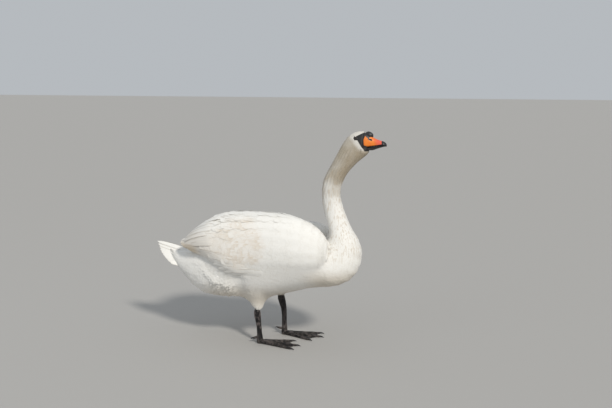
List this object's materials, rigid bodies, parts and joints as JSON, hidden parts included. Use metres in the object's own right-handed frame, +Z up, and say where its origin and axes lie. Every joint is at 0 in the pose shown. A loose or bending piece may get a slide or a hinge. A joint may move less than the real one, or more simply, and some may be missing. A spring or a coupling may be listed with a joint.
{
  "type": "bird figure",
  "caption": "Life-size standing mute swan figure, neck raised in an S and wings folded, on two webbed feet set flat on the floor",
  "frame": {"origin": "middle of the bounding box's bottom face, on the floor under the belly", "axes": "+X is the way the bird faces, +Y its left side, +Z up; the soles are on z = 0"},
  "size_m": [0.9336, 0.339, 0.8302],
  "materials": {
    "plumage": "white feathers",
    "feathered_flesh": "white feathers over skin and flesh",
    "stained_flesh": "cream-stained feathers over skin and flesh",
    "orange_horn": "satin horn",
    "black_horn": "satin horn",
    "leg_skin": "scaly skin",
    "eye": "wet gloss"
  },
  "bodies": {
    "root": {"rump": "plumage", "abdomen": "plumage", "trunk": "feathered_flesh", "breast": "feathered_flesh", "neck_lower": "feathered_flesh", "neck_middle": "feathered_flesh", "tail": "plumage", "wing_shoulder_right": "plumage", "wing_coverts_right": "plumage", "wing_quills_right": "plumage", "wing_shoulder_left": "plumage", "wing_coverts_left": "plumage", "wing_quills_left": "plumage", "thigh_right": "plumage", "thigh_left": "plumage", "neck_upper": "stained_flesh", "head": "stained_flesh", "eye_right": "eye", "eye_left": "eye", "bill_upper": "orange_horn", "bill_nail": "black_horn", "bill_lower": "black_horn", "knob": "black_horn", "shank_right": "leg_skin", "foot_right": "leg_skin", "hind_toe_right": "leg_skin", "claw_inner_right": "black_horn", "claw_middle_right": "black_horn", "claw_outer_right": "black_horn", "claw_hind_right": "black_horn", "shank_left": "leg_skin", "foot_left": "leg_skin", "hind_toe_left": "leg_skin", "claw_inner_left": "black_horn", "claw_middle_left": "black_horn", "claw_outer_left": "black_horn", "claw_hind_left": "black_horn"}
  },
  "joints": []
}
